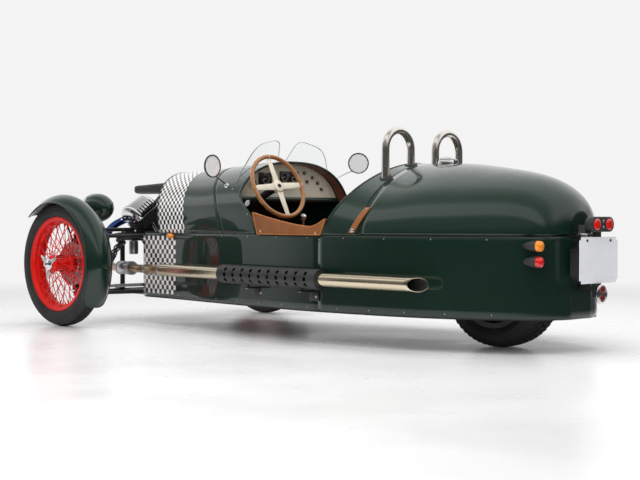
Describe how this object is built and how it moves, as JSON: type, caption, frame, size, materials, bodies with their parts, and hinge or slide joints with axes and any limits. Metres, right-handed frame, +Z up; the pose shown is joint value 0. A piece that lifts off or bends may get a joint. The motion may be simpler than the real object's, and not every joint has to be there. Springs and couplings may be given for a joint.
{
  "type": "three-wheeled open sports car",
  "caption": "Open three-wheeled sports car with wire front wheels, exposed V-twin engine, side exhausts, aero screens and a boat tail over the driven rear wheel.",
  "frame": {"origin": "on the ground under the middle of the car's bounding box", "axes": "+X the car's left, +Y its rear (it drives towards -Y), +Z up"},
  "size_m": [1.7406, 3.33, 1.0269],
  "materials": {
    "green_paint": "gloss",
    "black_steel": "satin",
    "floor_paint": "satin",
    "red_paint": "gloss",
    "chrome": "polished",
    "stainless": "brushed",
    "alloy": "satin",
    "engine_black": "satin",
    "warm_steel": "polished",
    "shield_black": "matt",
    "black_plastic": "matt",
    "tyre_rubber": "matt",
    "tan_leather": "satin",
    "wood": "gloss",
    "dash_metal": "engine turned",
    "clear_glass": "clear",
    "amber_lens": "clear",
    "red_lens": "clear",
    "white_plate": "gloss"
  },
  "bodies": {
    "chassis": {"chassis_frame": "black_steel", "tow_eye": "black_steel", "floor_pan": "floor_paint", "body_sides": "green_paint", "bonnet": "green_paint", "scuttle": "green_paint", "rear_cowl": "green_paint", "bulkhead": "floor_paint", "roll_hoops": "stainless", "aero_screens": "clear_glass", "dashboard": "dash_metal", "steering_column": "black_steel", "seat_cushions": "tan_leather", "seat_backs": "tan_leather", "elbow_pads": "tan_leather", "gear_lever": "chrome", "gearbox": "alloy", "crankcase": "alloy", "cylinders": "engine_black", "rocker_covers": "chrome", "intake": "black_plastic", "exhausts": "warm_steel", "heat_shields": "shield_black", "wishbones": "black_steel", "dampers": "black_steel", "headlamps": "green_paint", "headlamp_glass": "clear_glass", "mirrors": "chrome", "amber_lamps": "amber_lens", "red_lamps": "red_lens", "tail_lamps": "black_plastic", "tail_bracket": "black_steel", "number_plate": "white_plate", "boot_floor": "floor_paint", "swingarm": "black_steel"},
    "steering": {"steering_wheel": "wood"},
    "rack": {"tie_rods": "alloy"},
    "knuckle_left": {"knuckle_left": "black_steel", "wing_left": "green_paint"},
    "knuckle_right": {"knuckle_right": "black_steel", "wing_right": "green_paint"},
    "wheel_front_left": {"tyre_front_left": "tyre_rubber", "wheel_front_left": "red_paint", "spinner_left": "chrome"},
    "wheel_front_right": {"tyre_front_right": "tyre_rubber", "wheel_front_right": "red_paint", "spinner_right": "chrome"},
    "wheel_rear": {"tyre_rear": "tyre_rubber", "wheel_rear": "black_steel"},
    "lid": {"tail_lid": "green_paint", "lid_hinge": "stainless", "filler_cap": "chrome", "lid_straps": "tan_leather"}
  },
  "joints": [
    {"name": "steering_wheel_turn", "type": "hinge", "parent": "chassis", "child": "steering", "pos_m": [0.22, -0.162, 0.755], "axis": [0, 0.9205, 0.3907], "range_deg": [-270, 270]},
    {"name": "rack_slide", "type": "slide", "parent": "chassis", "child": "rack", "axis": [1, 0, 0], "range_m": [-0.0465, 0.0465]},
    {"name": "steer_left", "type": "hinge", "parent": "chassis", "child": "knuckle_left", "pos_m": [0.655, -1.325, 0.34], "axis": [0, 0, 1], "range_deg": [-24, 24]},
    {"name": "steer_right", "type": "hinge", "parent": "chassis", "child": "knuckle_right", "pos_m": [-0.655, -1.325, 0.34], "axis": [0, 0, 1], "range_deg": [-24, 24]},
    {"name": "spin_front_left", "type": "hinge", "parent": "knuckle_left", "child": "wheel_front_left", "pos_m": [0.75, -1.325, 0.34], "axis": [1, 0, 0], "continuous": true},
    {"name": "spin_front_right", "type": "hinge", "parent": "knuckle_right", "child": "wheel_front_right", "pos_m": [-0.75, -1.325, 0.34], "axis": [1, 0, 0], "continuous": true},
    {"name": "spin_rear", "type": "hinge", "parent": "chassis", "child": "wheel_rear", "pos_m": [0, 1.115, 0.3], "axis": [1, 0, 0], "continuous": true},
    {"name": "lid_open", "type": "hinge", "parent": "chassis", "child": "lid", "pos_m": [0, 1.554, 0.516], "axis": [-1, 0, 0], "range_deg": [0, 40]}
  ],
  "couplings": [
    {"joint": "steer_left", "follows": "steering_wheel_turn", "ratio": 0.0888},
    {"joint": "steer_right", "follows": "steering_wheel_turn", "ratio": 0.0888},
    {"joint": "rack_slide", "follows": "steering_wheel_turn", "m_per_rad": -0.00975}
  ]
}
